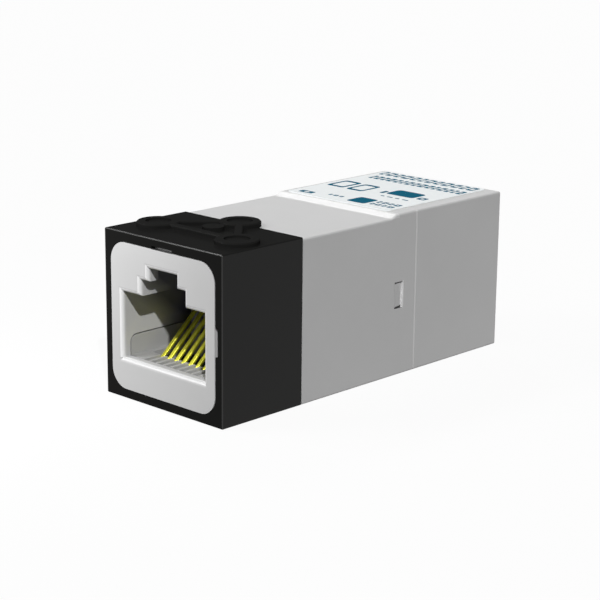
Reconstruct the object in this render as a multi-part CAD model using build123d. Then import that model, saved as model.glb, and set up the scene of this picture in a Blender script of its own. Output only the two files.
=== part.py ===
# Network isolator: a small in-line box with a socket for a network plug at each end.
# Two plastic shells snap together round a circuit board with four isolation transformers.
# +Z is up, the black front cap faces -Y, and the origin is at the middle of the base.
# Sizes are in millimetres. A depth is counted back from the front face of the neck.

from build123d import *
import os
from math import radians, tan

os.makedirs("parts", exist_ok=True)

# Socket for an eight-way network plug
plug_width = 11.7
plug_height = 6.75
socket_floor = 4.2
shoulder_width = 6.3
shoulder_rise = 1.65
lever_width = 4.0
lever_rise = 1.35
mouth_radius = 0.5
latch_wall = 1.4
socket_depth = 13.5
core_width = 2.0
core_height = 2.9
core_roof = 1.1
core_side = 1.05
core_front = 2.2

# Walls that set the housing's width and height round the socket
neck_side_wall = 1.55
neck_bottom = 1.0
neck_roof = 2.06
neck_corner = 2.0
cap_side = 1.0
deck_rise = 0.89
cap_rise = 0.15
raised_step = 0.35
wall = 1.2
edge_radius = 0.2
seam_chamfer = 0.1

# Places along the housing
block_to_seam = 0.62
ramp_to_seam = 3.2
ramp_length = 0.8

# Black cap that is pushed over the neck
cap_length = 10.8
cap_edge = 0.15
cap_clearance = 0.06
cap_setback = 0.05
cap_shoulder_gap = 0.05
key_width = 2.9
top_key_height = 0.3
side_key_height = 0.45
key_side_rise = 0.05
key_clearance = 0.08
key_setback = 0.5

# Grip relief moulded on the cap
relief_rise = 0.42
disc_radius = 2.2
rear_disc_radius = 2.15
rear_disc_setback = 0.3
front_disc_x = 5.6
front_disc_depth = 4.7
rib_width = 0.9
hub_radius = 1.1
hub_depth = 6.9
disc_dish_radius = 1.3
disc_dish_depth = 0.16
disc_overhang_gap = 0.05
relief_edge = 0.12

# Contact insert, a comb of plastic that slides into the shell from behind
lip_depth = 1.0
insert_gap = 0.15
panel_thickness = 0.6
panel_height = 2.0
panel_corner = 0.7
comb_length = 2.2
comb_groove = 0.5
comb_wall_thickness = 4.75
comb_wall_height = 5.6
comb_wall_side = 0.75
comb_back_thickness = 0.4
comb_slot_bottom = 1.1
floor_window_margin = 1.64

# Spring contacts
contact_count = 8
contact_pitch = 1.016
contact_width = 0.45
contact_thickness = 0.28
contact_slot_clearance = 0.08
leg_setback = 2.2
leg_slot_front = 0.4
foot_above_board_bottom = 0.1
bend_below_floor = 0.25
bend_radius = 0.35
arm_rise_degrees = 42.0
tip_in_comb = 0.4
leg_hole_radius = 0.4
leg_hole_sides = 12

# Circuit board
board_overhang = 0.15
board_thickness = 1.0
board_bottom = 1.9
board_end_gap = 0.4
board_bay_gap = 0.19
isolation_slot_width = 1.2
isolation_slot_length = 8.0
rail_width = 1.0
rail_inset = 0.5
rail_end_gap = 0.4

# Toroid transformers, one for each wire pair
core_outer_radius = 2.45
core_inner_radius = 1.25
toroid_core_height = 2.2
winding_thickness = 0.3
winding_gap = 0.03
winding_arc = 132.0
toroid_spacing = 0.3
toroid_front_gap = 0.49
toroid_board_gap = 0.03

# High-voltage capacitors that bridge the insulation gap
capacitor_length = 4.5
capacitor_width = 2.0
capacitor_height = 1.7
capacitor_end = 0.5
capacitor_end_step = 0.06
capacitor_spacing = 1.0
capacitor_front_gap = 0.29
capacitor_rear_gap = 0.9

# Snap catch on each side, and the collar that lines up the two shells
window_to_seam = 1.98
window_length = 1.32
window_height = 2.82
window_center_z = 8.66
nub_recess_rear = 0.26
nub_recess_front = 0.02
snap_clearance = 0.06
tongue_overrun = 0.2
collar_reach = 1.45
collar_thickness = 0.9
collar_clearance = 0.08
collar_board_gap = 0.4
inside_corner = 0.8

# Label on the raised part of the top
label_left_margin = 0.7
label_right_margin = 1.7
label_ramp_gap = 0.4
label_rear_gap = 0.5
label_thickness = 0.08
label_corner = 0.5

# Places that follow from the sizes above, across and upwards
plug_top = socket_floor + plug_height
shoulder_top = plug_top + shoulder_rise
lever_top = shoulder_top + lever_rise
neck_top = lever_top + neck_roof
neck_width = plug_width + 2 * neck_side_wall
neck_center_z = (neck_bottom + neck_top) / 2
deck_height = neck_top + deck_rise
cap_height = deck_height + cap_rise
raised_height = deck_height + raised_step
relief_top = cap_height + relief_rise
half_width = neck_width / 2 + cap_side
hollow_half_width = half_width - wall
hollow_top = deck_height - wall
collar_half_width = hollow_half_width - collar_clearance
collar_inner_half = collar_half_width - collar_thickness
board_top = board_bottom + board_thickness
board_half_width = plug_width / 2 + board_overhang
panel_top = socket_floor + panel_height
insert_half_width = plug_width / 2 + panel_thickness
slot_width = contact_width + 2 * contact_slot_clearance
contact_span = contact_pitch * (contact_count - 1)
floor_window_half = contact_span / 2 + floor_window_margin
winding_outer_radius = core_outer_radius + winding_gap + winding_thickness
toroid_pitch = 2 * winding_outer_radius + toroid_spacing
toroid_height = board_top + toroid_board_gap + winding_thickness + winding_gap + toroid_core_height / 2

# Places that follow along the housing, as depths behind the front face
toroid_reach = toroid_pitch / 2 + winding_outer_radius
toroid_depth = socket_depth + toroid_front_gap + toroid_reach
capacitor_depth = toroid_depth + toroid_reach + capacitor_front_gap + capacitor_width / 2
block_face = capacitor_depth + capacitor_width / 2 + capacitor_rear_gap
seam_depth = block_face - block_to_seam
housing_length = block_face + socket_depth
front = -housing_length / 2
shoulder_depth = cap_setback + cap_length + cap_shoulder_gap
neck_root = (shoulder_depth + socket_depth) / 2
ramp_end_depth = seam_depth - ramp_to_seam
ramp_start_depth = ramp_end_depth - ramp_length
window_rear = seam_depth - window_to_seam
window_front = window_rear - window_length
insert_front = lip_depth + insert_gap
insert_rear = socket_depth - insert_gap
comb_rear = insert_front + comb_length
comb_wall_front = insert_rear - comb_wall_thickness
leg_depth = lip_depth + leg_setback
tip_depth = comb_wall_front + tip_in_comb
bend_height = socket_floor - bend_below_floor
board_front = lip_depth + board_end_gap
label_front_depth = ramp_end_depth + label_ramp_gap
label_rear_depth = housing_length - label_rear_gap


def section(sketch, depth_from, depth_to):
    """Extrude an outline drawn across the housing between two depths."""
    plane = Plane.XZ.offset(-(front + depth_from))
    return extrude(plane * sketch, depth_from - depth_to)


def side_profile(points):
    """A closed face in the plane of depth and height."""
    return make_face(Polyline(*[(front + depth, z) for depth, z in points], close=True))


def across(sketch, x_from, x_to):
    """Extrude a side profile from one width to another."""
    return extrude(Plane.YZ.offset(x_from) * sketch, x_to - x_from)


def block(x_from, x_to, depth_from, depth_to, z_from, z_to):
    """A box between two corners."""
    middle = Pos((x_from + x_to) / 2, front + (depth_from + depth_to) / 2, (z_from + z_to) / 2)
    return middle * Box(x_to - x_from, depth_to - depth_from, z_to - z_from)


def rounded(width, z_from, z_to, radius):
    """A rounded rectangle across the housing, centred on its width."""
    return Pos(0, (z_from + z_to) / 2) * RectangleRounded(width, z_to - z_from, radius)


def flat_end(solid, depth):
    """The flat end face nearest to one depth."""
    ends = solid.faces().filter_by(Axis.Y)
    return min(ends, key=lambda face: abs(face.center().Y - front - depth))


def contact_x():
    """Places of the contacts across the socket."""
    return [i * contact_pitch - contact_span / 2 for i in range(contact_count)]


def mouth_outline(grow=0):
    """The stepped outline of the socket, grown evenly: plug, latch shoulders, latch lever."""
    plug_half = plug_width / 2 + grow
    shoulder_half = shoulder_width / 2 + grow
    lever_half = lever_width / 2 + grow
    right = [
        (plug_half, socket_floor - grow),
        (plug_half, plug_top + grow),
        (shoulder_half, plug_top + grow),
        (shoulder_half, shoulder_top + grow),
        (lever_half, shoulder_top + grow),
        (lever_half, lever_top + grow),
    ]
    left = [(-x, z) for x, z in reversed(right)]
    return make_face(Polyline(*right, *left, close=True))


def mouth_cut():
    """The plug space with its steps, and the pocket that holds the latch behind the front wall."""
    pocket_half = shoulder_width / 2
    pocket = block(-pocket_half, pocket_half, latch_wall, socket_depth, shoulder_top, lever_top)
    return section(mouth_outline(), 0, socket_depth) + pocket


def round_mouth(shell, depth):
    """Round the lip of the socket in the flat end at one depth."""
    return fillet(flat_end(shell, depth).inner_wires()[0].edges(), mouth_radius)


def bay_cut():
    """The bay for the board and the insert, open to the middle of the housing."""
    half = insert_half_width + insert_gap
    top = panel_top + insert_gap
    profile = side_profile([
        (lip_depth, board_bottom - board_bay_gap),
        (lip_depth, top),
        (socket_depth, top),
        (socket_depth, board_bottom - board_bay_gap),
    ])
    corner = profile.vertices().group_by(Axis.Y)[-1].sort_by(Axis.X)[0]
    return across(fillet(corner, panel_corner + insert_gap), -half, half)


def core_cuts():
    """Pockets beside the latch space that keep the moulding's walls even."""
    outline = RectangleRounded(core_width, core_height, core_width / 4)
    x = neck_width / 2 - core_side - core_width / 2
    z = neck_top - core_roof - core_height / 2
    return section(Pos(-x, z) * outline, core_front, socket_depth) + section(
        Pos(x, z) * outline, core_front, socket_depth
    )


def socket_cut():
    """All that is hollow in the front socket's block."""
    return mouth_cut() + bay_cut() + core_cuts()


def make_front_cap():
    """The black cap: an open sleeve with key slots and a raised grip relief."""
    depth_from = cap_setback
    depth_to = cap_setback + cap_length
    outside = block(-half_width, half_width, depth_from, depth_to, 0, cap_height)
    front_edges = flat_end(outside, depth_from).edges()
    outside = fillet(outside.edges().filter_by(Axis.Y) + front_edges, cap_edge)
    inside = rounded(
        neck_width + 2 * cap_clearance,
        neck_bottom - cap_clearance,
        neck_top + cap_clearance,
        neck_corner + cap_clearance,
    )
    sleeve = outside - section(inside, 0, shoulder_depth) - key_bars(0, 0)
    return sleeve + make_relief(depth_to)


def key_bars(depth_from, clearance):
    """The bars along the top and right of the neck that key the cap, or their slots in the cap."""
    half = key_width / 2 - clearance
    top = neck_top + top_key_height - clearance
    side = neck_width / 2 + side_key_height - clearance
    side_z = neck_center_z - key_side_rise
    depth_to = neck_root if clearance else shoulder_depth
    top_bar = block(-half, half, depth_from, depth_to, neck_center_z, top)
    side_bar = block(0, side, depth_from, depth_to, side_z - half, side_z + half)
    return top_bar + side_bar


def make_relief(rear_edge_depth):
    """Three dished discs joined by ribs round a small hub. The rear disc laps over the deck."""
    base = cap_height - cap_edge
    centers = [
        (-front_disc_x, front_disc_depth),
        (front_disc_x, front_disc_depth),
        (0, rear_edge_depth - rear_disc_setback),
    ]
    outline = Pos(0, front + hub_depth) * Circle(hub_radius)
    for index, (x, depth) in enumerate(centers):
        radius = rear_disc_radius if index == 2 else disc_radius
        next_x, next_depth = centers[(index + 1) % 3]
        start = (x, front + depth)
        end = (next_x, front + next_depth)
        outline += Pos(x, front + depth) * Circle(radius)
        outline += trace(Line(start, end), rib_width)
    relief = extrude(Plane.XY.offset(base) * outline, relief_top - base)
    relief = chamfer(relief.faces().sort_by(Axis.Z)[-1].edges(), relief_edge)
    for x, depth in centers:
        relief -= Pos(x, front + depth, relief_top - disc_dish_depth / 2) * Cylinder(
            disc_dish_radius, disc_dish_depth
        )
    under_disc = block(
        -rear_disc_radius, rear_disc_radius, rear_edge_depth, rear_edge_depth + rear_disc_radius,
        0, deck_height + disc_overhang_gap,
    )
    return relief - under_disc


def make_front_shell():
    """The front shell: neck with socket, deck, ramp up to the label, and snap windows."""
    profile = side_profile([
        (shoulder_depth, 0),
        (shoulder_depth, deck_height),
        (ramp_start_depth, deck_height),
        (ramp_end_depth, raised_height),
        (seam_depth, raised_height),
        (seam_depth, 0),
    ])
    body = across(profile, -half_width, half_width)
    ends = body.faces().filter_by(Axis.Y).edges()
    crosswise = body.edges().filter_by(Axis.X)
    body = fillet([edge for edge in body.edges() - ends if edge not in crosswise], edge_radius)
    body = chamfer(flat_end(body, seam_depth).outer_wire().edges(), seam_chamfer)
    neck = section(rounded(neck_width, neck_bottom, neck_top, neck_corner), 0, neck_root)
    hollow = section(
        rounded(2 * hollow_half_width, wall, hollow_top, inside_corner), socket_depth, seam_depth
    )
    shell = body + neck + key_bars(key_setback, key_clearance) - socket_cut() - hollow
    shell = round_mouth(shell, 0)
    rail_front, rail_rear = socket_depth, seam_depth - collar_reach - rail_end_gap
    for side in (-1, 1):
        shell -= Pos(side * (half_width - wall / 2), 0, 0) * snap_window()
        rail_x = side * (board_half_width - rail_inset)
        shell += block(
            rail_x - rail_width / 2, rail_x + rail_width / 2, rail_front, rail_rear, wall, board_bottom
        )
    return shell


def snap_window():
    """The slot through a side wall that a catch of the rear shell fills."""
    half = window_height / 2
    return block(
        -wall, wall, window_front, window_rear, window_center_z - half, window_center_z + half
    )


def make_catch():
    """The rear shell's right catch: a tongue inside the wall, and a sloped nub in the window."""
    half = window_height / 2 - snap_clearance
    tongue = block(
        collar_inner_half, collar_half_width,
        window_front - tongue_overrun, block_face, window_center_z - half, window_center_z + half,
    )
    nub_front = front + window_front + snap_clearance
    nub_rear = front + window_rear - snap_clearance
    nub = make_face(Polyline(
        (collar_half_width, nub_front),
        (half_width - nub_recess_front, nub_front),
        (half_width - nub_recess_rear, nub_rear),
        (collar_half_width, nub_rear),
        close=True,
    ))
    return tongue + extrude(Plane.XY.offset(window_center_z - half) * nub, 2 * half)


def make_rear_shell():
    """The rear shell: socket, locating collar and the two catches."""
    body = block(-half_width, half_width, seam_depth, housing_length, 0, raised_height)
    rear_edges = flat_end(body, housing_length).edges()
    body = fillet(body.edges().filter_by(Axis.Y) + rear_edges, edge_radius)
    body = chamfer(flat_end(body, seam_depth).outer_wire().edges(), seam_chamfer)
    collar_outside = rounded(
        2 * collar_half_width, wall + collar_clearance, hollow_top - collar_clearance, inside_corner
    )
    collar_inside = rounded(
        2 * collar_inner_half,
        wall + collar_clearance + collar_thickness,
        hollow_top - collar_clearance - collar_thickness,
        inside_corner / 2,
    )
    collar_front = seam_depth - collar_reach
    collar = section(collar_outside - collar_inside, collar_front, seam_depth)
    collar -= block(
        -half_width, half_width, collar_front, seam_depth, 0, board_top + collar_board_gap
    )
    board_space = block(
        -collar_inner_half, collar_inner_half, seam_depth, block_face, wall, neck_center_z
    )
    shell = body - section(collar_inside, seam_depth, block_face) - board_space
    shell -= mirror(socket_cut(), about=Plane.XZ)
    shell = round_mouth(shell + collar, housing_length)
    catch = make_catch()
    return shell + catch + mirror(catch, about=Plane.YZ)


def make_insert():
    """The front contact insert: comb, low side panels, comb wall for the tips, and back plate."""
    half = insert_half_width
    base = block(-half, half, insert_front, insert_rear, board_top, socket_floor)
    base -= block(
        -floor_window_half, floor_window_half, comb_rear, comb_wall_front, board_top, socket_floor
    )
    profile = side_profile([
        (insert_front, board_top),
        (insert_front, panel_top),
        (insert_rear, panel_top),
        (insert_rear, board_top),
    ])
    corner = profile.vertices().group_by(Axis.Y)[-1].sort_by(Axis.X)[0]
    panel = across(fillet(corner, panel_corner), half - panel_thickness, half)
    comb_top = socket_floor + comb_wall_height
    comb_half = plug_width / 2 - comb_wall_side
    comb_wall = block(-comb_half, comb_half, comb_wall_front, insert_rear, board_top, comb_top)
    slot_rear = insert_rear - comb_back_thickness
    back_plate = section(mouth_outline(-insert_gap), slot_rear, insert_rear)
    pocket_half = shoulder_width / 2 - insert_gap
    back_plate += block(
        -pocket_half, pocket_half, slot_rear, insert_rear, shoulder_top, lever_top - insert_gap
    )
    insert = base + panel + mirror(panel, about=Plane.YZ) + comb_wall + back_plate
    slot_start = leg_depth - leg_slot_front
    for x in contact_x():
        left, right = x - slot_width / 2, x + slot_width / 2
        insert -= block(left, right, insert_front, slot_start, socket_floor - comb_groove, socket_floor)
        insert -= block(left, right, slot_start, comb_rear, board_top, socket_floor)
        insert -= block(
            left, right, comb_wall_front, slot_rear, socket_floor + comb_slot_bottom, comb_top
        )
    return insert


def make_contact():
    """One front contact at the middle: a leg in the board, a bend and a rising spring arm."""
    tip_height = bend_height + (tip_depth - leg_depth) * tan(radians(arm_rise_degrees))
    path = FilletPolyline(
        (front + leg_depth, board_bottom + foot_above_board_bottom),
        (front + leg_depth, bend_height),
        (front + tip_depth, tip_height),
        radius=bend_radius,
    )
    return extrude(Plane.YZ * trace(path, contact_thickness), contact_width / 2, both=True)


def make_board():
    """The board: holes for sixteen contact legs and a slot that lengthens the insulation path."""
    half = board_half_width
    board = block(-half, half, board_front, housing_length - board_front, board_bottom, board_top)
    plane = Plane.XY.offset(board_bottom)
    hole = extrude(plane * RegularPolygon(leg_hole_radius, leg_hole_sides), board_thickness)
    for x in contact_x():
        board -= Pos(x, front + leg_depth, 0) * hole
        board -= Pos(x, -front - leg_depth, 0) * hole
    slot = SlotOverall(isolation_slot_length, isolation_slot_width)
    return board - Pos(0, front + toroid_depth, 0) * extrude(plane * slot, board_thickness)


def toroid_places():
    """Middles of the four transformers, two by two."""
    steps = (-toroid_pitch / 2, toroid_pitch / 2)
    return [(x, front + toroid_depth + y) for y in steps for x in steps]


def ring_section(grow):
    """A section through one side of the ring core, grown evenly."""
    width = core_outer_radius - core_inner_radius + 2 * grow
    middle = (core_outer_radius + core_inner_radius) / 2
    return Plane.XZ * (Pos(middle, 0) * Rectangle(width, toroid_core_height + 2 * grow))


def make_core():
    """A ferrite ring."""
    return revolve(ring_section(0), Axis.Z)


def make_winding(middle_degrees):
    """The enamelled wire wound round one side of the ring, as one sleeve."""
    sleeve = ring_section(winding_gap + winding_thickness) - ring_section(winding_gap)
    return Rot(0, 0, middle_degrees - winding_arc / 2) * revolve(sleeve, Axis.Z, winding_arc)


def make_capacitor():
    """A block capacitor that stands on its two metal ends."""
    length = capacitor_length
    step = capacitor_end_step
    body = Pos(0, 0, capacitor_height / 2) * Box(
        length - capacitor_end, capacitor_width - 2 * step, capacitor_height - 2 * step
    )
    for side in (-1, 1):
        end = Box(capacitor_end, capacitor_width, capacitor_height)
        body += Pos(side * (length - capacitor_end) / 2, 0, capacitor_height / 2) * end
    return body


def make_label():
    """The thin label, whose margin is wider on the right."""
    left = -half_width + label_left_margin
    right = half_width - label_right_margin
    length = label_rear_depth - label_front_depth
    outline = RectangleRounded(right - left, length, label_corner)
    middle = Pos((left + right) / 2, front + (label_front_depth + label_rear_depth) / 2, raised_height)
    return extrude(middle * outline, label_thickness)


insert = make_insert()
contact = make_contact()
nodes = {
    "front_cap": make_front_cap(),
    "front_shell": make_front_shell(),
    "rear_shell": make_rear_shell(),
    "label": make_label(),
    "front_insert": insert,
    "rear_insert": mirror(insert, about=Plane.XZ),
    "circuit_board": make_board(),
}
for number, x in enumerate(contact_x(), start=1):
    placed = Pos(x, 0, 0) * contact
    nodes[f"front_contact_{number}"] = placed
    nodes[f"rear_contact_{number}"] = mirror(placed, about=Plane.XZ)
core = make_core()
primary = make_winding(-90)
secondary = make_winding(90)
for number, (x, y) in enumerate(toroid_places(), start=1):
    place = Pos(x, y, toroid_height)
    nodes[f"transformer_core_{number}"] = place * core
    nodes[f"primary_winding_{number}"] = place * primary
    nodes[f"secondary_winding_{number}"] = place * secondary
capacitor = make_capacitor()
capacitor_x = (capacitor_length + capacitor_spacing) / 2
for number, x in enumerate((-capacitor_x, capacitor_x), start=1):
    nodes[f"isolation_capacitor_{number}"] = Pos(x, front + capacitor_depth, board_top) * capacitor

for name, shape in nodes.items():
    export_step(shape, f"parts/{name}.step")
print(len(nodes), "pieces written")
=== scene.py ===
# Network isolator: the finishes, the label's print, the spring contacts and the studio.
# Lengths are in metres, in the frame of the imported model, where no note says millimetres.

from math import cos, pi, radians, sin, tan

import bpy
import numpy as np
from mathutils import Matrix, Vector


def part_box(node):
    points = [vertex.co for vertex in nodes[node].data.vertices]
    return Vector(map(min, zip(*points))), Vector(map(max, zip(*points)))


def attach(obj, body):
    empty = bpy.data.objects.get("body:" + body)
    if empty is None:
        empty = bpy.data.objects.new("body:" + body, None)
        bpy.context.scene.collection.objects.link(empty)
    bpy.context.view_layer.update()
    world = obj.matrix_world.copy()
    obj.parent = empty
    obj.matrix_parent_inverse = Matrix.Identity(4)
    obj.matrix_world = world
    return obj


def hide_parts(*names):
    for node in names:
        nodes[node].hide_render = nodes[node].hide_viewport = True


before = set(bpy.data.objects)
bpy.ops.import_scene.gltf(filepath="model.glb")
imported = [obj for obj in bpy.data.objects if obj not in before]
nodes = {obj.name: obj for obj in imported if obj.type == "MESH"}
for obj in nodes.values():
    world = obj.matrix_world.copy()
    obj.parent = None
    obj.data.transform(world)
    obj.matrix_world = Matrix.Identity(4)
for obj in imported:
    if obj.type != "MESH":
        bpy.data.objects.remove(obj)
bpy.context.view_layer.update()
mm = 0.001
mmPerMetre = 1000
print("loaded", len(nodes), "pieces")


class Num:
    # one shader socket; sums, products and comparisons on it add Math nodes
    def __init__(self, finish, socket):
        self.finish = finish
        self.socket = socket

    def maths(self, operation, *values):
        inputs = dict(enumerate(values))
        return self.finish.add("ShaderNodeMath", {"operation": operation}, inputs)

    def __add__(self, other):
        return self.maths("ADD", self, other)

    def __sub__(self, other):
        return self.maths("SUBTRACT", self, other)

    def __rsub__(self, other):
        return self.maths("SUBTRACT", other, self)

    def __mul__(self, other):
        return self.maths("MULTIPLY", self, other)

    def __truediv__(self, other):
        return self.maths("DIVIDE", self, other)

    def __gt__(self, other):
        return self.maths("GREATER_THAN", self, other)

    def __lt__(self, other):
        return self.maths("LESS_THAN", self, other)

    def __abs__(self):
        return self.maths("ABSOLUTE", self)

    def atLeast(self, other):
        return self.maths("MAXIMUM", self, other)

    def atMost(self, other):
        return self.maths("MINIMUM", self, other)

    __radd__ = __add__
    __rmul__ = __mul__


class Finish:
    # one material; add() makes any node from its type, its settings and its inputs
    def __init__(self, name, roughness, metallic=0.0):
        self.material = bpy.data.materials.new(name)
        self.material.use_nodes = True
        self.tree = self.material.node_tree
        self.surface = self.tree.nodes["Principled BSDF"]
        self.surface.inputs["Roughness"].default_value = roughness
        self.surface.inputs["Metallic"].default_value = metallic

    def feed(self, socket, value):
        if isinstance(value, Num):
            self.tree.links.new(value.socket, socket)
        else:
            socket.default_value = value

    def add(self, kind, settings=None, inputs=None, output=0):
        node = self.tree.nodes.new(kind)
        for key, value in (settings or {}).items():
            setattr(node, key, value)
        for key, value in (inputs or {}).items():
            self.feed(node.inputs[key], value)
        return Num(self, node.outputs[output])

    def place(self):
        return self.add("ShaderNodeTexCoord", output="Object")

    def axes(self):
        # the three object coordinates as numbers, in millimetres
        split = self.add("ShaderNodeSeparateXYZ", inputs={0: self.place()})
        outputs = split.socket.node.outputs
        return [Num(self, outputs[i]) * mmPerMetre for i in range(3)]

    def noise(self, grainMm, detail=2.0, stretch=(1, 1, 1)):
        # soft noise around 0.5 whose blobs are about grainMm wide
        placed = self.add("ShaderNodeMapping", inputs={"Vector": self.place(), "Scale": stretch})
        inputs = {"Vector": placed, "Scale": mmPerMetre / grainMm, "Detail": detail}
        return self.add("ShaderNodeTexNoise", inputs=inputs)

    def blend(self, factor, first, second):
        # first + (second - first) * factor, by the Mix node's sockets for colour: 6 and 7, out at 2
        inputs = {0: factor, 6: (*first, 1) if isinstance(first, tuple) else first}
        inputs[7] = (*second, 1) if isinstance(second, tuple) else second
        return self.add("ShaderNodeMix", {"data_type": "RGBA"}, inputs, output=2)

    def bump(self, height, depthMm):
        inputs = {"Height": height, "Distance": depthMm * mm}
        self.feed(self.surface.inputs["Normal"], self.add("ShaderNodeBump", inputs=inputs))

    def set(self, name, value):
        self.feed(self.surface.inputs[name], value)


def dress(piece, finish):
    # gives every slot of a piece the same material
    if not piece.data.materials:
        piece.data.materials.append(finish.material)
    for index in range(len(piece.data.materials)):
        piece.data.materials[index] = finish.material


# Camera, solved from the box's own edges in a picture 600 pixels square
cameraPlace = {
    "azimuth": 43.63,
    "elevation": 14.89,
    "roll": 0.56,
    "distance": 186.5 * mm,
    "target": (-0.65 * mm, -1.02 * mm, 7.37 * mm),
    "lens": 106.5,
    "sensor": 36.0,
    "nearest": 0.01,
    "farthest": 10,
}


def makeCamera():
    # the camera looks at the target from azimuth and elevation, then turns by the roll
    p = cameraPlace
    a, e, r = radians(p["azimuth"]), radians(p["elevation"]), radians(p["roll"])
    back = Vector((sin(a) * cos(e), -cos(a) * cos(e), sin(e)))
    right = (-back).cross(Vector((0, 0, 1))).normalized()
    up = right.cross(-back)
    rolledRight = right * cos(r) + up * sin(r)
    rolledUp = up * cos(r) - right * sin(r)
    data = bpy.data.cameras.new("camera")
    data.lens = p["lens"]
    data.sensor_width = p["sensor"]
    data.clip_start = p["nearest"]
    data.clip_end = p["farthest"]
    camera = bpy.data.objects.new("camera", data)
    turn = Matrix((rolledRight, rolledUp, back)).transposed().to_4x4()
    camera.matrix_world = Matrix.Translation(Vector(p["target"]) + back * p["distance"]) @ turn
    bpy.context.scene.collection.objects.link(camera)
    bpy.context.scene.camera = camera


# Distant lamps: direction towards the lamp, irradiance, and how wide it looks in degrees
lamps = {
    "keyLamp": {"towards": (0.60, -0.45, 0.66), "strength": 2.5, "spread": 1.5},
    "fillLamp": {"towards": (-0.55, -0.62, 0.56), "strength": 0.85, "spread": 20},
    "edgeLamp": {"towards": (-0.667, -0.257, 0.70), "strength": 0.25, "spread": 8},
    "rimLamp": {"towards": (-0.64, 0.33, 0.69), "strength": 0.32, "spread": 12},
}
# A small near lamp that makes the front face a little brighter on its left
nearLamp = {"place": (-24 * mm, -44 * mm, 18 * mm), "power": 0.0225, "radius": 6 * mm}
# White studio: the sky's faint light, the white that is seen past the object, and the floor
studio = {
    "skyLight": 0.02,
    "whiteSeen": 0.985,
    "floorPaint": 0.06,
    "floorRoughness": 0.9,
    "floorGlow": 0.93,
    "floorReach": 0.6,
    "floorGap": 0.02 * mm,
    "floorRings": 12,
    "floorSpokes": 96,
}


def addLamp(name, kind, power):
    data = bpy.data.lights.new(name, kind)
    data.energy = power
    lampObject = bpy.data.objects.new(name, data)
    bpy.context.scene.collection.objects.link(lampObject)
    return lampObject


def makeLamps():
    for name, lamp in lamps.items():
        lampObject = addLamp(name, "SUN", lamp["strength"])
        lampObject.data.angle = radians(lamp["spread"])
        lampObject.rotation_mode = "QUATERNION"
        lampObject.rotation_quaternion = Vector(lamp["towards"]).to_track_quat("Z", "Y")
    near = addLamp("nearLamp", "POINT", nearLamp["power"])
    near.data.shadow_soft_size = nearLamp["radius"]
    near.location = nearLamp["place"]


def seenDirectly(tree):
    # 1 for rays from the camera, off gloss or through glass, and 0 for the rest
    path = tree.nodes.new("ShaderNodeLightPath")
    total = path.outputs["Is Camera Ray"]
    for name in ("Is Glossy Ray", "Is Transmission Ray"):
        larger = tree.nodes.new("ShaderNodeMath")
        larger.operation = "MAXIMUM"
        tree.links.new(total, larger.inputs[0])
        tree.links.new(path.outputs[name], larger.inputs[1])
        total = larger.outputs[0]
    return total


def makeSky():
    # faint light on the object, and plain white where something looks past it
    world = bpy.data.worlds.new("studioSky")
    bpy.context.scene.world = world
    world.use_nodes = True
    tree = world.node_tree
    level = tree.nodes.new("ShaderNodeMapRange")
    level.inputs["To Min"].default_value = studio["skyLight"]
    level.inputs["To Max"].default_value = studio["whiteSeen"]
    tree.links.new(seenDirectly(tree), level.inputs["Value"])
    background = tree.nodes["Background"]
    background.inputs["Color"].default_value = (1, 1, 1, 1)
    tree.links.new(level.outputs["Result"], background.inputs["Strength"])


def makeFloor():
    # a wide disc just below the base, from rings of points at radius * (cos a, sin a): a little
    # pale paint takes the shadow, and a white glow hides its edge
    rings, spokes = studio["floorRings"], studio["floorSpokes"]
    ring, spoke = np.meshgrid(np.linspace(0, 1, rings), np.arange(spokes), indexing="ij")
    radius = studio["floorReach"] * ring
    angle = 2 * pi * spoke / spokes
    height = 0 * radius - studio["floorGap"]
    verts = np.stack([radius * np.cos(angle), radius * np.sin(angle), height], -1)
    floor = meshObject("studioFloor", verts, gridFaces(rings, spokes).tolist())
    finish = Finish("studioFloorPaint", studio["floorRoughness"])
    finish.set("Base Color", (*[studio["floorPaint"]] * 3, 1))
    finish.set("Specular IOR Level", 0.0)
    glowLevel = Num(finish, seenDirectly(finish.tree)) * studio["floorGlow"]
    glow = finish.add("ShaderNodeEmission", inputs={"Color": (1, 1, 1, 1), "Strength": glowLevel})
    both = finish.tree.nodes.new("ShaderNodeAddShader")
    finish.tree.links.new(finish.surface.outputs[0], both.inputs[0])
    finish.tree.links.new(glow.socket, both.inputs[1])
    seen = finish.tree.nodes["Material Output"].inputs["Surface"]
    finish.tree.links.new(both.outputs[0], seen)
    dress(floor, finish)


def gridFaces(rows, columns):
    # quads over a grid of points: each row is a closed ring, and each ring joins the next
    i, j = np.meshgrid(np.arange(rows - 1), np.arange(columns), indexing="ij")
    nextColumn = (j + 1) % columns
    here, after = i * columns, (i + 1) * columns
    corners = [here + j, after + j, after + nextColumn, here + nextColumn]
    return np.stack(corners, -1).reshape(-1, 4)


def meshObject(name, verts, faces, smooth=False):
    mesh = bpy.data.meshes.new(name)
    mesh.from_pydata(verts.reshape(-1, 3).tolist(), [], faces)
    mesh.validate()
    mesh.update()
    if smooth:
        mesh.shade_smooth()
    piece = bpy.data.objects.new(name, mesh)
    bpy.context.scene.collection.objects.link(piece)
    return piece


def wireMesh(name, verts):
    # a smooth tube through rows of section points, shut by one face at each end
    rows, columns = verts.shape[:2]
    faces = gridFaces(rows, columns).tolist()
    faces.append(list(range(columns)))
    faces.append(list(range(rows * columns - 1, (rows - 1) * columns - 1, -1)))
    return meshObject(name, verts, faces, smooth=True)


def sweep(line, across, along, section):
    # each section point (u, v) goes to line + u * across + v * (along x across), row by row
    along = along / np.linalg.norm(along, axis=-1, keepdims=True)
    across = across / np.linalg.norm(across, axis=-1, keepdims=True)
    rise = np.cross(along, across)
    u, v = section[..., 0, None], section[..., 1, None]
    return line[:, None] + u * across[:, None] + v * rise[:, None]


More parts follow.
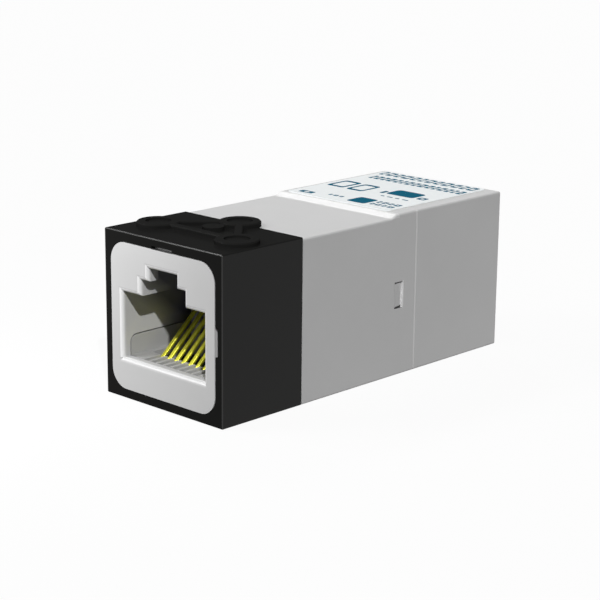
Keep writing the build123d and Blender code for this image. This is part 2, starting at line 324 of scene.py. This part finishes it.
def superellipse(halfWidth, halfHeight, power, count):
    # x = a |cos t|^p, y = b |sin t|^p with their signs; a small power gives a squarer outline
    t = 2 * pi * np.arange(count) / count
    x = halfWidth * np.sign(np.cos(t)) * np.abs(np.cos(t)) ** power
    y = halfHeight * np.sign(np.sin(t)) * np.abs(np.sin(t)) ** power
    return np.stack([x, y], -1)


# Moulded plastics: colour, gloss, and a fine grain from the mould (in millimetres)
plastics = {
    "palePlastic": {
        "colour": (0.58, 0.58, 0.58),
        "roughness": 0.36,
        "grain": 0.07,
        "relief": 0.0016,
        "shine": 0.5,
    },
    "blackPlastic": {
        "colour": (0.014, 0.014, 0.0135),
        "roughness": 0.7,
        "grain": 0.09,
        "relief": 0.0022,
        "shine": 0.0,
    },
    "insertPlastic": {
        "colour": (0.40, 0.40, 0.395),
        "roughness": 0.55,
        "grain": 0.06,
        "relief": 0.0016,
        "shine": 0.2,
    },
}
# Their unevenness: how wide the colour's clouds are and how far it and the roughness swing
plasticDrift = {"cloud": 6.0, "cloudDetail": 3.0, "colour": 0.04, "roughness": 0.12}

# The next four paint shade and highlights into the pale plastic's colour. Their lengths are in
# millimetres: heights above the base, widths from the middle, and depths from the front face, or
# from the nearer end for the sockets.

# Painted shade: a socket's walls are painted darker with depth, sooner the higher they are,
# and soonest in the lever channel
paintedSocketShade = {
    "colour": (0.14, 0.14, 0.18),
    "start": 4.5,
    "span": 3.8,
    "halfWidth": 6.2,
    "floor": 3.5,
    "roof": 14.3,
    "leadFoot": 7.3,
    "lead": 1.2,
    "leastStart": 0.5,
    "leastShare": 0.12,
    "channelFoot": 11.4,
    "channelGain": 0.7,
}
# Painted highlights: the sockets' rounded lips, the ramp, and the rear edges of the snap windows
# are painted lighter
paintedEdgeHighlights = {
    "colour": (0.92, 0.92, 0.92),
    "lip": {
        "first": 0.02, "full": 0.2, "last": 0.4, "halfWidth": 6.4, "floor": 4.15, "roof": 14.5,
    },
    "ramp": {"first": 23.4, "full": 24.0, "last": 25.2, "foot": 16.85, "share": 0.35},
    "window": {"first": 25.93, "last": 26.08, "halfWidth": 8.05, "floor": 7.2, "roof": 10.1},
}
# Painted shade: bands above and below each catch, inside its window in the side wall, are painted
# dark as the shade in the gaps there
paintedCatchShade = {
    "colour": (0.012, 0.012, 0.012),
    "first": 24.65,
    "last": 25.93,
    "middle": 8.66,
    "halfHeight": 1.42,
    "band": 0.2,
    "innerWidth": 8.05,
    "outerWidth": 8.385,
}
# Painted shade: the key bar on top of the neck is painted dark as the shade of the cap's front
paintedKeyShade = {"colour": (0.07, 0.07, 0.07), "halfWidth": 1.5, "foot": 16.0, "last": 3.0}


def limited(value):
    # the value held between 0 and 1
    return value.atLeast(0).atMost(1)


def between(value, first, last):
    # 1 where the value lies between the two limits, else 0
    return (value > first) * (value < last)


def paintedSocketShadeShare(across, fromEnd, height):
    # share of painted shade, 0 at a socket's mouth to 1 deep inside, by (depth - start) / span *
    # gain:
    # the start falls with height above leadFoot, and the gain grows with height above channelFoot
    s = paintedSocketShade
    above = (height - s["leadFoot"]).atLeast(0)
    start = (s["start"] - s["lead"] * above).atLeast(s["leastStart"])
    gain = 1 + s["channelGain"] * (height - s["channelFoot"]).atLeast(0)
    share = limited((fromEnd - start) / s["span"] * gain)
    share = share.atLeast(s["leastShare"]) * (fromEnd > s["leastStart"])
    return share * (across < s["halfWidth"]) * between(height, s["floor"], s["roof"])


def paintedHighlightShare(across, fromFront, fromEnd, height):
    # share of painted highlight: 1 on the lips above a socket's floor and on the windows' rear
    # edges, less on the ramp
    lip, ramp, window = paintedEdgeHighlights["lip"], paintedEdgeHighlights["ramp"], paintedEdgeHighlights["window"]
    lipShare = limited((lip["last"] - fromEnd) / (lip["last"] - lip["full"]))
    lipShare = lipShare * (fromEnd > lip["first"]) * (across < lip["halfWidth"])
    lipShare = lipShare * between(height, lip["floor"], lip["roof"])
    rampShare = limited((fromFront - ramp["first"]) / (ramp["full"] - ramp["first"]))
    rampShare = rampShare * (fromFront < ramp["last"]) * (height > ramp["foot"])
    windowShare = between(fromFront, window["first"], window["last"])
    windowShare = windowShare * (across > window["halfWidth"])
    windowShare = windowShare * between(height, window["floor"], window["roof"])
    return limited(lipShare + ramp["share"] * rampShare + windowShare)


def paintedCatchShadeShare(across, fromFront, height):
    # share of painted shade: 1 on the ends of the catches and on the faces next to them
    g = paintedCatchShade
    fromMiddle = abs(height - g["middle"])
    share = between(fromMiddle, g["halfHeight"] - g["band"], g["halfHeight"])
    share = share * between(fromFront, g["first"], g["last"])
    return share * between(across, g["innerWidth"], g["outerWidth"])


def paintedKeyShadeShare(across, fromFront, height):
    # share of painted shade: 1 on the key bar above the neck
    k = paintedKeyShade
    return (across < k["halfWidth"]) * (height > k["foot"]) * (fromFront < k["last"])


def paintedPaleShadeAndHighlights(finish, colour):
    # painted shade and painted highlights on the pale plastic's colour, each laid over the one
    # before
    x, y, z = finish.axes()
    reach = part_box("rear_shell")[1][1] / mm
    across, fromFront, fromEnd = abs(x), y + reach, reach - abs(y)
    layers = (
        (paintedSocketShadeShare(across, fromEnd, z), paintedSocketShade),
        (paintedHighlightShare(across, fromFront, fromEnd, z), paintedEdgeHighlights),
        (paintedCatchShadeShare(across, fromFront, z), paintedCatchShade),
        (paintedKeyShadeShare(across, fromFront, z), paintedKeyShade),
    )
    for share, settings in layers:
        colour = finish.blend(share, colour, settings["colour"])
    return colour


def plastic(name):
    # base colour drifts a little over the part, and the grain lifts the surface by microns
    p, d = plastics[name], plasticDrift
    finish = Finish(name, p["roughness"])
    cloud = finish.noise(d["cloud"], d["cloudDetail"])
    grain = finish.noise(p["grain"], detail=1.0)
    dark = tuple(channel * (1 - d["colour"]) for channel in p["colour"])
    light = tuple(channel * (1 + d["colour"]) for channel in p["colour"])
    colour = finish.blend(cloud, dark, light)
    # the pale plastic's colour also gets painted shade and painted highlights
    if name == "palePlastic":
        colour = paintedPaleShadeAndHighlights(finish, colour)
    finish.set("Base Color", colour)
    finish.set("Specular IOR Level", p["shine"])
    finish.set("Roughness", p["roughness"] + d["roughness"] * (grain - 0.5))
    finish.bump(grain, p["relief"])
    return finish


# Cap: its side walls are satin, its top and front almost matt, and its front edges polished. The
# edges' width, and the cap's top below the raised rear half, are in millimetres.
capGloss = {
    "walls": 0.3,
    "top": 0.018,
    "edges": 0.85,
    "roughness": 0.22,
    "edgeWidth": 0.10,
    "topBelowRaised": 0.2,
}


def capPlastic():
    # the coat is that of the walls or the top, or that of the front edges where it is larger
    g = capGloss
    finish = plastic("blackPlastic")
    x, y, z = finish.axes()
    low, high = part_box("front_cap")
    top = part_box("front_shell")[1][2] / mm - g["topBelowRaised"]
    atTop = z > top - g["edgeWidth"]
    atFront = y < low[1] / mm + g["edgeWidth"]
    atSide = abs(x) > high[0] / mm - g["edgeWidth"]
    edge = (atTop * atFront).atLeast(atFront * atSide)
    walls = (1 - atTop) * (1 - atFront) * g["walls"]
    finish.set("Coat Weight", (walls + atTop * g["top"]).atLeast(edge * g["edges"]))
    finish.set("Coat Roughness", g["roughness"])
    return finish


# Finishes that run between two colours by soft noise. Its grain and the relief are in
# millimetres. Where "gloss" is given, the roughness is its first number plus the noise times
# its second.
grained = {
    # coated white film with a faint fibre
    "labelFilm": {
        "dark": (0.88, 0.92, 0.93),
        "light": (0.94, 0.97, 0.975),
        "grain": 0.12,
        "detail": 3.0,
        "stretch": (1, 0.2, 1),
        "roughness": 0.5,
        "shine": 0.2,
        "gloss": (0.36, 0.12),
        "relief": 0.001,
    },
    "labelInk": {
        "dark": (0.010, 0.115, 0.19),
        "light": (0.020, 0.155, 0.25),
        "grain": 0.15,
        "roughness": 0.6,
        "shine": 0.0,
    },
    # lines drawn along the wire, over bright plate
    "goldPlate": {
        "dark": (0.76, 0.73, 0.05),
        "light": (0.97, 0.95, 0.10),
        "grain": 0.05,
        "stretch": (1, 0.06, 0.06),
        "roughness": 0.3,
        "metallic": 0.7,
        "gloss": (0.24, 0.14),
        "relief": 0.003,
    },
    "ferrite": {
        "dark": (0.025, 0.025, 0.028),
        "light": (0.09, 0.09, 0.095),
        "grain": 0.12,
        "detail": 3.0,
        "roughness": 0.7,
        "relief": 0.01,
    },
    "copperEnamel": {
        "dark": (0.35, 0.10, 0.03),
        "light": (0.62, 0.22, 0.07),
        "grain": 0.5,
        "roughness": 0.25,
        "metallic": 0.6,
    },
    "greenEnamel": {
        "dark": (0.02, 0.14, 0.05),
        "light": (0.05, 0.30, 0.10),
        "grain": 0.5,
        "roughness": 0.25,
        "metallic": 0.6,
    },
}


def grainedFinish(name):
    # colour = dark + (light - dark) * noise, and the noise also lifts the surface
    g = grained[name]
    finish = Finish(name, g["roughness"], g.get("metallic", 0.0))
    grain = finish.noise(g["grain"], g.get("detail", 2.0), g.get("stretch", (1, 1, 1)))
    finish.set("Base Color", finish.blend(grain, g["dark"], g["light"]))
    if "shine" in g:
        finish.set("Specular IOR Level", g["shine"])
    if "gloss" in g:
        finish.set("Roughness", g["gloss"][0] + g["gloss"][1] * grain)
    if "relief" in g:
        finish.bump(grain, g["relief"])
    return finish


# Circuit board: tracks at the contacts' pitch, rippled sideways, under green resist. Lengths
# are in millimetres, and halfTrack is a share of the pitch.
board = {
    "resist": (0.004, 0.012, 0.009),
    "copper": (0.012, 0.03, 0.02),
    "roughness": 0.35,
    "pitch": 1.016,
    "halfTrack": 0.2,
    "ripple": 0.6,
    "rippleGrain": 2.2,
    "trackFoot": 6,
    "relief": 0.02,
}


def boardLaminate():
    # a track lies where x plus the ripple is near a whole number of pitches, off the middle
    b = board
    finish = Finish("boardLaminate", b["roughness"])
    x, y = finish.axes()[:2]
    pushed = (x + b["ripple"] * finish.noise(b["rippleGrain"])) / b["pitch"]
    steps = x / b["pitch"]
    track = abs(pushed - steps.maths("ROUND", steps)) < b["halfTrack"]
    copper = track * (abs(y) > b["trackFoot"])
    finish.set("Base Color", finish.blend(copper, b["resist"], b["copper"]))
    finish.bump(copper, b["relief"])
    return finish


# Capacitors: tan ceramic with tinned ends. Each stands "middle" from the plane x = 0, and its
# ceramic reaches "halfGlaze" to both sides of that, in millimetres.
capacitor = {
    "glaze": (0.42, 0.27, 0.13),
    "tin": (0.62, 0.62, 0.62),
    "roughness": 0.4,
    "metallic": 0.9,
    "middle": 2.75,
    "halfGlaze": 1.75,
}


def capacitorGlaze():
    c = capacitor
    finish = Finish("capacitorGlaze", c["roughness"])
    tinned = abs(abs(finish.axes()[0]) - c["middle"]) > c["halfGlaze"]
    finish.set("Base Color", finish.blend(tinned, c["glaze"], c["tin"]))
    finish.set("Metallic", tinned * c["metallic"])
    return finish


# Spring contact: the wire's section, its bend and its rise, as in the solid that it replaces
spring = {
    "width": 0.45 * mm,
    "thickness": 0.28 * mm,
    "bendRadius": 0.35 * mm,
    "rise": radians(42),
    "edgePower": 0.45,
    "sides": 28,
    "legRows": 5,
    "arcRows": 14,
    "armRows": 24,
    "tipTaper": (1.0, 0.93, 0.78, 0.5),
    "tipLength": 0.12 * mm,
}


def contactWire(end, number, finish):
    # In depth y and height z the wire is a leg, an arc and an arm: with turn = 90 deg - rise,
    # y = leg + r (1 - cos t), z = z0 + r sin t for t from 0 to turn, then straight at the rise.
    p = spring
    node = f"{end}_contact_{number}"
    low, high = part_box(node)
    half, rise, radius = p["thickness"] / 2, p["rise"], p["bendRadius"]
    backward = 1 if end == "front" else -1
    near, far = (low[1], high[1]) if end == "front" else (-high[1], -low[1])
    leg, tip = near + half, far - half * sin(rise)
    tipHeight = high[2] - half * cos(rise)
    turn = pi / 2 - rise
    arcFoot = tipHeight - (tip - leg) * tan(rise) - radius * tan(turn / 2)
    t = np.linspace(0, turn, p["arcRows"])
    arcY, arcZ = leg + radius * (1 - np.cos(t)), arcFoot + radius * np.sin(t)
    legZ = np.linspace(low[2], arcFoot, p["legRows"])[:-1]
    reach = np.linspace(0, 1, p["armRows"])[1:]
    y = np.concatenate([0 * legZ + leg, arcY, arcY[-1] + reach * (tip - arcY[-1])])
    z = np.concatenate([legZ, arcZ, arcZ[-1] + reach * (tipHeight - arcZ[-1])])
    line = np.stack([0 * y + (low[0] + high[0]) / 2, backward * y, z], -1)
    along = np.gradient(line, axis=0)
    # the last rows close in on the tip, which ends in a small dome
    taper = p["tipTaper"]
    scale = np.ones(len(line))
    scale[-len(taper):] = taper
    steps = np.linspace(-1, 0, len(taper))[:, None] * p["tipLength"]
    line[-len(taper):] = line[-1] + steps * along[-1] / np.linalg.norm(along[-1])
    outline = superellipse(p["width"] / 2, half, p["edgePower"], p["sides"])
    across = np.broadcast_to((1.0, 0, 0), line.shape)
    verts = sweep(line, across, along, scale[:, None, None] * outline)
    wire = wireMesh(f"{end}Wire{number}", verts)
    dress(wire, finish)
    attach(wire, f"{end}_spring_{number}")
    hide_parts(node)


# Toroid wires: turns on each half of a ring, and how square they lie round its section. The
# bore is the ring's inner radius, and the inset is from the winding's face to the wire's middle.
coil = {
    "turns": 11,
    "wireRadius": 0.14 * mm,
    "steps": 26,
    "sides": 8,
    "squareness": 0.55,
    "arc": radians(128),
    "bore": 1.25 * mm,
    "inset": 0.15 * mm,
}


def coilWire(node, coreNode, finish):
    # A spiral round the ring's section: after t turns the wire is at angle a along the ring, at
    # radius R + h |cos q|^s and height H |sin q|^s with their signs, where q = 2 pi t.
    p = coil
    low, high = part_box(node)
    coreLow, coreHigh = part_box(coreNode)
    center = (np.array(coreLow) + np.array(coreHigh)) / 2
    outer, inner = (coreHigh[0] - coreLow[0]) / 2, p["bore"]
    side = 1 if (low[1] + high[1]) / 2 > center[1] else -1
    coverZ = (high[2] - low[2]) / 2 - p["inset"]
    cover = coverZ - (coreHigh[2] - coreLow[2]) / 2
    halfBand = (outer - inner) / 2 + cover
    t = np.arange(p["turns"] * p["steps"] + 1) / p["steps"]
    q = 2 * pi * t
    ringAngle = side * (pi / 2) + p["arc"] * (t / p["turns"] - 0.5)
    inward = np.sign(np.cos(q)) * np.abs(np.cos(q)) ** p["squareness"]
    upward = np.sign(np.sin(q)) * np.abs(np.sin(q)) ** p["squareness"]
    radial = (outer + inner) / 2 + halfBand * inward
    turned = [radial * np.cos(ringAngle), radial * np.sin(ringAngle), coverZ * upward]
    line = center + np.stack(turned, -1)
    along = np.gradient(line, axis=0)
    tangent = np.stack([-np.sin(ringAngle), np.cos(ringAngle), 0 * t], -1)
    section = superellipse(p["wireRadius"], p["wireRadius"], 1.0, p["sides"])
    verts = sweep(line, tangent, along, np.broadcast_to(section, (len(t), *section.shape)))
    wire = wireMesh(node.replace("_winding_", "Wire"), verts)
    dress(wire, finish)
    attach(wire, "housing")
    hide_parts(node)


# Print on the label: plain bars and shapes, with places in millimetres from the label's corner
ink = {
    "thickness": 0.008 * mm,
    "roundness": 0.25,
    "columns": 40,
    "leastHollow": 0.02,
    # a bar's length before its row is fitted: the least, and the swing
    "length": (0.7, 0.6),
    "goldenShare": 0.618,
    # one row of bars each: first x, last x, first depth, row height, bar, gap, hollow share
    "rows": (
        (0.5, 14.0, 14.45, 1.6, 0.72, 0.36, 0.5),
        (1.1, 14.2, 12.0, 1.5, 0.55, 0.30, 0.4),
        (10.8, 13.9, 2.3, 0.8, 0.36, 0.26, 0.4),
        (10.8, 13.9, 1.2, 0.7, 0.36, 0.26, 0.4),
        (8.8, 12.6, 5.3, 0.25, 0.4, 0.4, 0.0),
        (4.5, 6.5, 1.7, 0.5, 0.3, 0.3, 0.3),
    ),
    # single shapes: middle x, middle depth, width, length, hollow share
    "shapes": (
        (1.8, 7.3, 2.4, 3.4, 0.70),
        (4.7, 7.2, 2.3, 3.4, 0.70),
        (10.2, 7.9, 3.8, 2.5, 0.0),
        (7.8, 7.1, 0.5, 1.1, 0.0),
        (13.1, 7.2, 1.1, 1.0, 0.45),
        (9.1, 2.1, 2.5, 2.5, 0.0),
        (1.9, 1.2, 1.9, 0.9, 0.4),
    ),
}


def barRow(first, last, depth, height, bar, gap, hollow):
    # bar k is as long as least + swing * (the part of k * golden share after the point), and then
    # all are fitted to the row, so that it looks as uneven as printed lines
    count = int((last - first) / (bar + gap))
    least, swing = ink["length"]
    lengths = least + swing * ((np.arange(count) * ink["goldenShare"]) % 1)
    lengths *= (last - first - gap * (count - 1)) / lengths.sum()
    starts = first + np.concatenate([[0], np.cumsum(lengths + gap)[:-1]])
    flat = np.ones(count)
    middle = flat * (depth + height / 2)
    return np.stack([starts + lengths / 2, middle, lengths, flat * height, flat * hollow], -1)


def labelPrint(finish):
    # Every mark is the same grid of four rings: a point lies at the mark's middle plus its size
    # times the rim times a reach, 1 outside and the hollow share inside, and two rings are lifted.
    low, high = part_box("label")
    marks = [np.array(ink["shapes"])] + [barRow(*row) for row in ink["rows"]]
    x, depth, width, length, hollow = np.concatenate(marks).T[..., None, None]
    rim = superellipse(0.5, 0.5, ink["roundness"], ink["columns"])
    inner = np.maximum(hollow, ink["leastHollow"])
    reach = np.where(np.array([0, 0, 1, 1])[:, None], inner, 1)
    lift = np.where(np.array([0, 1, 1, 0])[:, None] > 0, ink["thickness"], 0) + 0 * hollow
    shape = np.broadcast_shapes(reach.shape, rim[:, 0].shape)
    verts = np.stack([
        np.broadcast_to(low[0] + mm * (x + width * reach * rim[:, 0]), shape),
        np.broadcast_to(low[1] + mm * (depth + length * reach * rim[:, 1]), shape),
        np.broadcast_to(high[2] + lift, shape),
    ], -1)
    rows, columns = verts.shape[1:3]
    single = gridFaces(rows, columns)
    faces = np.concatenate([single + k * rows * columns for k in range(len(verts))])
    marksPiece = meshObject("labelPrint", verts, faces.tolist())
    dress(marksPiece, finish)
    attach(marksPiece, "housing")


def dressNodes():
    # each CAD piece gets its finish, then the wires and the print take their places
    pale, insert = plastic("palePlastic"), plastic("insertPlastic")
    made = {name: grainedFinish(name) for name in grained}
    gold, copper, green = made["goldPlate"], made["copperEnamel"], made["greenEnamel"]
    finishes = {
        "front_cap": capPlastic(),
        "front_shell": pale,
        "rear_shell": pale,
        "label": made["labelFilm"],
        "front_insert": insert,
        "rear_insert": insert,
        "circuit_board": boardLaminate(),
        "front_contact": gold,
        "rear_contact": gold,
        "transformer_core": made["ferrite"],
        "primary_winding": copper,
        "secondary_winding": green,
        "isolation_capacitor": capacitorGlaze(),
    }
    for name, piece in nodes.items():
        dress(piece, finishes[name.rstrip("_0123456789")])
    for number in range(1, 9):
        contactWire("front", number, gold)
        contactWire("rear", number, gold)
    for number in range(1, 5):
        coilWire(f"primary_winding_{number}", f"transformer_core_{number}", copper)
        coilWire(f"secondary_winding_{number}", f"transformer_core_{number}", green)
    labelPrint(made["labelInk"])


makeCamera()
makeLamps()
makeSky()
makeFloor()
print("studio ready")
dressNodes()
print("finishes on")

bpy.context.scene.view_settings.view_transform = "Standard"
